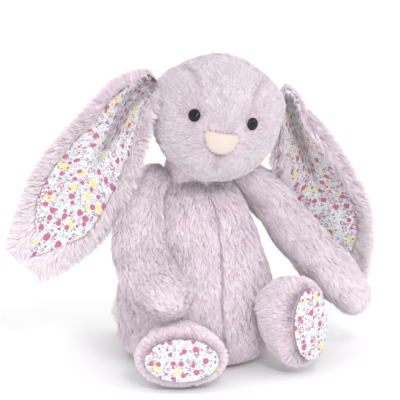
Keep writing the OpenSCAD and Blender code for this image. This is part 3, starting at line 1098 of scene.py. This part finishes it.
def paint(node, material):
    """Gives a carried-over solid a finish."""
    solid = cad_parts[node]
    if not solid.material_slots:
        solid.data.materials.append(None)
    for slot in solid.material_slots:
        slot.material = material


# ---------- ears ----------


def ear_half(sizes, t):
    """Half width of an ear along its length."""
    return sizes.ear_half_width * np.sqrt(np.maximum(np.sin(math.pi * t**1.45), 0))


def ear_curl(t):
    """How far an ear is rolled into a trough, in radians: more at its root."""
    return np.radians(100 * (1 - t) ** 1.3 + 14)


def ear_point(sizes, path, front, t, s, deep):
    """A point of an ear. s runs across it from -1 to 1, and deep is how far behind its front."""
    h = heading(path, t)
    side = unit(np.cross(h, unit(front)))
    out = np.cross(side, h)
    curl = ear_curl(t)
    r = (ear_half(sizes, t) / curl)[..., None]
    a = (curl * s)[..., None]
    deep = np.broadcast_to(deep, t.shape)[..., None]
    return spline(path, t) + side * (r + deep) * np.sin(a) + out * (r - (r + deep) * np.cos(a))


def lining_edge(sizes, t):
    """Share of the ear's width that the lining covers: it narrows to a rounded point."""
    return sizes.lining_share * np.clip((LINING_END - t) / 0.17, 0, 1) ** 0.55


def fold_depth(sizes, t, s):
    """How far the fold along the middle of an ear is pinched back, and how much cloth it takes
    between the middle and s."""
    reach = 17 * MM * smoothstep(t, 0.0, 0.06) * (1 - smoothstep(t, 0.30, 0.62))
    side = np.exp(-np.abs(s) * ear_half(sizes, t) / (2.4 * MM))
    return reach * side, reach * (1 - side)


class RABBIT_OT_ears(bpy.types.Operator):
    """Makes both long ears: plush backs with a fringe, and printed linings"""

    bl_idname = "plush_rabbit.ears"
    bl_label = "Ears"

    def execute(self, context):
        for side, path, front, seed in (("left", LEFT_EAR_PATH, LEFT_EAR_FRONT, 40),
                                        ("right", RIGHT_EAR_PATH, RIGHT_EAR_FRONT, 50)):
            self.plush(context, side, path, front, seed)
            self.lining(context, side, path, front)
        return {"FINISHED"}

    def plush(self, context, side, path, front, seed):
        """The thin padded back of an ear, furred behind and round its edge."""
        sizes, cut = context.scene.rabbit_sizes, context.scene.rabbit_pile
        first = 0.045 if side == "left" else 0.02
        t = first + (0.97 - first) * crowded(132)
        a = np.linspace(0, 2 * math.pi, 200, endpoint=False)
        s = 0.965 * np.cos(a)
        layer = np.sign(np.sin(a)) * np.abs(np.sin(a)) ** 0.7
        deep = sizes.ear_thickness * (0.5 + 0.28 * layer)
        tt, ss = np.broadcast_arrays(t[:, None], s)
        rings = ear_point(sizes, path, front, tt, ss, deep + fold_depth(sizes, tt, ss)[0])
        ends = [ear_point(sizes, path, front, np.array(e), np.array(0.0), sizes.ear_thickness / 2)
                for e in (t[0], t[-1])]
        skin = closed_skin(rings, *ends)
        along = ring_values(t, len(a), t[0], t[-1])
        over = np.concatenate([[0], np.tile(s, len(t)), [0]])
        behind = np.concatenate([[0], np.tile(layer, len(t)), [0]])
        step = 0.02
        across = unit(ear_point(sizes, path, front, along, over + step, 0.0)
                      - ear_point(sizes, path, front, along, over - step, 0.0))
        edge = smoothstep(np.abs(over), 0.45, 0.95)[:, None] * np.sign(over)[:, None]
        tip = smoothstep(along, 0.86, 0.98)[:, None]
        root = smoothstep(along, 0.0, 0.17)
        skin.nap = heading(path, along) * (0.55 + tip - 0.35 * np.abs(edge)) + across * edge * 1.3
        facing = behind < -0.25
        bare = lining_edge(sizes, along)
        margin = smoothstep(np.abs(over), bare - 0.05, bare + 0.02)
        rim = np.abs(edge[:, 0])
        curl = ear_curl(along)
        closed = smoothstep(curl, 0.8, 1.9)
        skin.dense = np.where(facing, 1.3 * margin, 1.0 + 0.4 * rim)
        skin.long = (0.8 + 0.6 * rim + 0.45 * rim * (1 - along) + 0.25 * tip[:, 0]) * (
            0.3 + 0.7 * root)
        skin.long *= np.where(facing, 1 - 0.55 * closed, 1)
        skin.rise = np.where(facing, 1.4, 0.9 + 2.0 * curl * np.abs(over) * rim)
        # Strands beside the lining and on the rim take lighter shades: painted light on the ear's
        # fringe.
        skin.tone = np.where(facing, 1.3, 0.0) + 1.2 * rim
        backing_piece(f"{side}_ear_back", f"{side}_ear", skin, lilac_backing(),
                      [f"{side}_ear_plush"])
        coat = Coat(cut.ear_length, 4.4, 0.36 * MM, 0.42, 2.2 * MM, 0.38, stray=0.45)
        grow_pile(f"{side}_ear_pile", f"{side}_ear", skin, coat, lilac_shades(),
                  seed)

    def lining(self, context, side, path, front):
        """The printed lining, sewn in with small puckers along its edge."""
        sizes = context.scene.rabbit_sizes
        reach = LINING_END - LINING_START
        t = LINING_START + reach * crowded(152)[:-1]
        a = np.linspace(0, 2 * math.pi, 220, endpoint=False)
        share = lining_edge(sizes, t)[:, None]
        ss = share * np.sign(np.cos(a)) * np.abs(np.cos(a)) ** 0.9
        layer = np.sign(np.sin(a)) * np.abs(np.sin(a)) ** 0.6
        tt = np.broadcast_to(t[:, None], ss.shape)
        half = ear_half(sizes, tt)
        to_edge = (share - np.abs(ss)) * half
        length = np.linalg.norm(np.diff(path, axis=0), axis=1).sum()
        pucker = 0.22 * MM * np.sin(tt * length / (1.1 * MM)) * np.exp(-to_edge / (2.5 * MM))
        pillow = 1.0 * MM * (1 - np.exp(-to_edge / (4 * MM)))
        fold, taken = fold_depth(sizes, tt, ss)
        flat = np.stack([ss * half + np.sign(ss) * taken, tt * length], -1)
        folds = 0.5 * MM * ripple(np.dstack([flat * [1.6, 0.5], 0 * tt]).reshape(-1, 3), 20 * MM,
                                  31).reshape(tt.shape)
        deep = -0.4 * MM - pillow + pucker + folds * smoothstep(to_edge, 0, 6 * MM)
        deep = deep + 0.35 * MM * (layer + 1) / 2 + fold
        rings = ear_point(sizes, path, front, tt, ss, deep)
        ends = [ear_point(sizes, path, front, np.array(e), np.array(0.0), -0.5 * MM)
                for e in (t[0], t[-1])]
        skin = closed_skin(rings, *ends)
        piece = new_piece(f"{side}_lining", skin.points, skin.faces, [printed_cotton()])
        place = np.concatenate([[[0, t[0] * length]], flat.reshape(-1, 2), [[0, t[-1] * length]]])
        lay_print(piece, place + [0.2 if side == "left" else 0.0, 0])
        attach(piece, f"{side}_ear")
        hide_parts(f"{side}_ear_lining")


# ---------- arms and legs ----------


class RABBIT_OT_arms(bpy.types.Operator):
    """Makes both stuffed arms"""

    bl_idname = "plush_rabbit.arms"
    bl_label = "Arms"

    def execute(self, context):
        sizes, cut = context.scene.rabbit_sizes, context.scene.rabbit_pile
        shoulder = (sizes.shoulder_radius, sizes.shoulder_radius)
        for side, path, spread, seed in (("left", LEFT_ARM_PATH, 0.001, 60),
                                         ("right", RIGHT_ARM_PATH, sizes.flat_paw, 70)):
            paw = (sizes.paw_radius + spread, sizes.paw_radius)
            path = path.copy()
            path[0] += np.array([-9 if side == "left" else 9, 1, -7]) * MM
            skin = limb_skin(path, shoulder, paw, sizes.backing, (2.8, 3))
            skin.push(0.7 * MM * ripple(skin.points, 34 * MM, seed))
            # The arms' strands take lighter shades than the body's: painted light on the arms.
            skin.tone += 0.9
            backing_piece(f"{side}_arm_cover", f"{side}_arm", skin,
                          lilac_backing(), [f"{side}_arm_plush", f"{side}_arm_stuffing"])
            coat = Coat(cut.body_length, 4.6, tuft=2.7 * MM)
            grow_pile(f"{side}_arm_pile", f"{side}_arm", skin, coat,
                      lilac_shades(), seed)
        return {"FINISHED"}


class RABBIT_OT_legs(bpy.types.Operator):
    """Makes both legs, their feet and the printed foot pads"""

    bl_idname = "plush_rabbit.legs"
    bl_label = "Legs"

    def execute(self, context):
        sizes = context.scene.rabbit_sizes
        upright = (sizes.foot_short + 0.001, sizes.foot_long)
        lying = (sizes.foot_long, sizes.foot_short)
        for side, path, sole, seed in (("left", LEFT_LEG_PATH, upright, 80),
                                       ("right", RIGHT_LEG_PATH, lying, 90)):
            self.leg(context, side, path, np.array(sole), seed)
            self.pad(context, side, path, np.array(sole))
        return {"FINISHED"}

    def leg(self, context, side, path, sole, seed):
        """A leg whose pile is brushed back from the sole and outwards round the pad."""
        sizes, cut = context.scene.rabbit_sizes, context.scene.rabbit_pile
        skin = limb_skin(path, (0.019, 0.022), sole, sizes.backing, (2.2, 4), rows=120)
        h, across, up = limb_frame(path, np.array(1.0))
        offset = skin.points - path[-1]
        x, y = offset @ across / sole[0], offset @ up / sole[1]
        share = np.hypot(x, y)
        facing = (skin.normals @ h) > 0.55
        out = unit(across * x[:, None] + up * y[:, None])
        end = smoothstep(skin.along, 0.75, 0.97)[:, None]
        skin.nap = -skin.nap * (1 - 0.7 * end) + out * 1.2 * end
        skin.push(0.5 * MM * ripple(skin.points, 30 * MM, seed))
        covered = facing & (share < PAD_SHARE - 0.04)
        beside = facing * np.exp(-(((share - PAD_SHARE) / 0.10) ** 2))
        skin.dense = np.where(covered, 0.0, 1 + 0.3 * end[:, 0] + 0.5 * beside)
        skin.rise = 1 + 0.35 * end[:, 0] + 1.2 * beside
        skin.long = 0.85 + 0.1 * end[:, 0] - 0.25 * beside
        backing_piece(f"{side}_leg_cover", f"{side}_leg", skin, lilac_backing(),
                      [f"{side}_leg_plush", f"{side}_leg_stuffing"])
        coat = Coat(cut.body_length, 4.0, 0.38 * MM, 0.48, 2.6 * MM, 0.5)
        grow_pile(f"{side}_leg_pile", f"{side}_leg", skin, coat, lilac_shades(),
                  seed)

    def pad(self, context, side, path, sole):
        """A printed pad, slightly domed and puckered where it is sewn on."""
        h, across, up = limb_frame(path, np.array(1.0))
        shares = np.concatenate([np.linspace(0.02, 0.93, 40), 0.93 + 0.07 * np.sin(
            np.linspace(0.1, math.pi / 2, 12))])
        a = np.linspace(0, 2 * math.pi, 160, endpoint=False)
        x = PAD_SHARE * sole[0] * shares[:, None] * np.cos(a)
        y = PAD_SHARE * sole[1] * shares[:, None] * np.sin(a)
        dome = 0.8 * MM + 1.6 * MM * np.sqrt(1 - shares**4)[:, None]
        dome = dome + 0.18 * MM * np.cos(46 * a) * shares[:, None] ** 14
        flat = np.stack([x, y], -1)
        dome = dome + 0.35 * MM * ripple(np.dstack([flat, 0 * x]).reshape(-1, 3), 16 * MM,
                                         95).reshape(x.shape) * (1 - shares[:, None] ** 3)
        front = path[-1] + across * x[..., None] + up * y[..., None] + h * dome[..., None]
        back = front[::-1] - h * 0.5 * MM
        skin = closed_skin(np.concatenate([front, back]), path[-1] + h * dome[0, 0],
                           path[-1] + h * (dome[0, 0] - 0.5 * MM))
        piece = new_piece(f"{side}_pad", skin.points, skin.faces, [printed_cotton()])
        place = np.concatenate([[[0, 0]], flat.reshape(-1, 2), flat[::-1].reshape(-1, 2), [[0, 0]]])
        lay_print(piece, place + [0.4 if side == "left" else 0.6, 0.3])
        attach(piece, f"{side}_leg")
        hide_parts(f"{side}_foot_pad")


# ---------- tail ----------


class RABBIT_OT_tail(bpy.types.Operator):
    """Makes the round tail with its long pale pile"""

    bl_idname = "plush_rabbit.tail"
    bl_label = "Tail"

    def execute(self, context):
        cut, colours = context.scene.rabbit_pile, context.scene.rabbit_colours
        sizes = context.scene.rabbit_sizes
        low, high = (np.array(corner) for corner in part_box("tail_plush"))
        middle = (low + high) / 2
        radius = (high[2] - low[2]) / 2
        rings = middle + sphere_ways(46, 64) * radius * 0.9
        skin = closed_skin(rings, middle + UP * radius * 0.9, middle - UP * radius * 0.9)
        skin.push(-sizes.backing)
        seat = unit(np.array([middle[0], middle[1], 0.0]))
        skin.nap = unit(skin.points - middle) * 0.2 + seat + UP * -0.3
        backing_piece("tail_cover", "torso", skin,
                      backing_material("tail_backing", between(colours.tail_dark, (0, 0, 0), 0.08)),
                      ["tail_plush", "tail_stuffing"])
        coat = Coat(cut.tail_length, 6.0, 0.40 * MM, 0.55, 3 * MM, 0.35)
        shades = pile_materials("tail_pile", colours.tail_dark, colours.tail_light)
        grow_pile("tail_pile", "torso", skin, coat, shades, 100)
        return {"FINISHED"}


# ---------- pieces inside ----------


class RABBIT_OT_inside(bpy.types.Operator):
    """Gives the pellet pouch and the eye washers their finishes"""

    bl_idname = "plush_rabbit.inside"
    bl_label = "Pouch and washers"

    def execute(self, context):
        paint("pellet_pouch", plain_cloth_material("pouch_cloth", (0.86, 0.85, 0.82), 1400))
        washer = plain_cloth_material("washer_plastic", (0.82, 0.82, 0.80), 300)
        for node in ("left_eye_washer", "right_eye_washer"):
            paint(node, washer)
        return {"FINISHED"}


# ---------- stage ----------


class RABBIT_OT_stage(bpy.types.Operator):
    """Sets the pale floor, the soft lights and the camera"""

    bl_idname = "plush_rabbit.stage"
    bl_label = "Stage"

    def execute(self, context):
        low, high = CAD_BOX
        self.camera(context)
        self.floor()
        self.lights(context, (low + high) / 2)
        return {"FINISHED"}

    def camera(self, context):
        """A long lens, low and a little to the rabbit's right."""
        azimuth, elevation, distance = math.radians(-24), math.radians(14), 4.2
        back = Vector((math.sin(azimuth) * math.cos(elevation),
                       -math.cos(azimuth) * math.cos(elevation), math.sin(elevation)))
        data = bpy.data.cameras.new("camera")
        data.lens = 525
        data.clip_end = 20
        camera = bpy.data.objects.new("camera", data)
        context.scene.collection.objects.link(camera)
        aim = Vector((0.0033, -0.0015, 0.1143))
        camera.location = aim + back * distance
        camera.rotation_euler = back.to_track_quat("Z", "Y").to_euler()
        context.scene.camera = camera

    def floor(self):
        """A wide pale floor."""
        half = 6.0
        corners = np.array([[-half, -half, 0], [half, -half, 0], [half, half, 0], [-half, half, 0]])
        shader = Shader("pale_floor")
        grain = shader.noise(40, 3)
        colour = shader.mix(grain, (0.955, 0.955, 0.96), (0.97, 0.97, 0.975))
        material = shader.finish(Base_Color=colour, Roughness=0.9, Specular_IOR_Level=0.1)
        new_piece("floor", corners, np.array([[0, 1, 2, 3]]), [material])

    def lights(self, context, middle):
        """A white room with two soft boxes in front and a wide one at the side."""
        world = context.scene.world or bpy.data.worlds.new("white_room")
        context.scene.world = world
        world.use_nodes = True
        world.node_tree.nodes["Background"].inputs[0].default_value = (1, 1, 1, 1)
        world.node_tree.nodes["Background"].inputs[1].default_value = 1.04
        context.scene.view_settings.view_transform = "Standard"
        for name, place, size, power in (
                ("key", (-0.30, -1.45, 1.00), 0.34, 9.0),
                ("low", (-0.85, -1.50, 0.25), 0.26, 5.0),
                ("side", (1.10, -0.90, 0.70), 0.90, 3.0)):
            data = bpy.data.lights.new(name, "AREA")
            data.size, data.energy = size, power
            light = bpy.data.objects.new(name, data)
            light.location = middle + Vector(place)
            light.rotation_euler = Vector(place).to_track_quat("Z", "Y").to_euler()
            context.scene.collection.objects.link(light)


# ---------- panel ----------


STEPS = (RABBIT_OT_stage, RABBIT_OT_torso, RABBIT_OT_neck, RABBIT_OT_head, RABBIT_OT_nose,
         RABBIT_OT_eyes, RABBIT_OT_ears, RABBIT_OT_arms, RABBIT_OT_legs, RABBIT_OT_tail,
         RABBIT_OT_inside)


class RABBIT_PT_panel(bpy.types.Panel):
    """The rabbit's sizes, pile and colours, and a button for each piece"""

    bl_idname = "RABBIT_PT_panel"
    bl_label = "Plush Rabbit"
    bl_space_type = "VIEW_3D"
    bl_region_type = "UI"
    bl_category = "Plush Rabbit"

    def draw(self, context):
        for group in (context.scene.rabbit_sizes, context.scene.rabbit_pile,
                      context.scene.rabbit_colours):
            box = self.layout.box()
            for name in group.__annotations__:
                box.prop(group, name)
        for step in STEPS:
            self.layout.operator(step.bl_idname)


CLASSES = (RabbitSizes, PileCut, PlushColours, *STEPS, RABBIT_PT_panel)


def register():
    """Adds the classes and the scene's settings."""
    for cls in CLASSES:
        bpy.utils.register_class(cls)
    bpy.types.Scene.rabbit_sizes = PointerProperty(type=RabbitSizes)
    bpy.types.Scene.rabbit_pile = PointerProperty(type=PileCut)
    bpy.types.Scene.rabbit_colours = PointerProperty(type=PlushColours)


def unregister():
    """Takes them away again."""
    for name in ("rabbit_sizes", "rabbit_pile", "rabbit_colours"):
        delattr(bpy.types.Scene, name)
    for cls in reversed(CLASSES):
        bpy.utils.unregister_class(cls)


def main():
    """Makes the whole rabbit."""
    register()
    for step in STEPS:
        group, name = step.bl_idname.split(".")
        getattr(getattr(bpy.ops, group), name)()


if __name__ == "__main__":
    main()
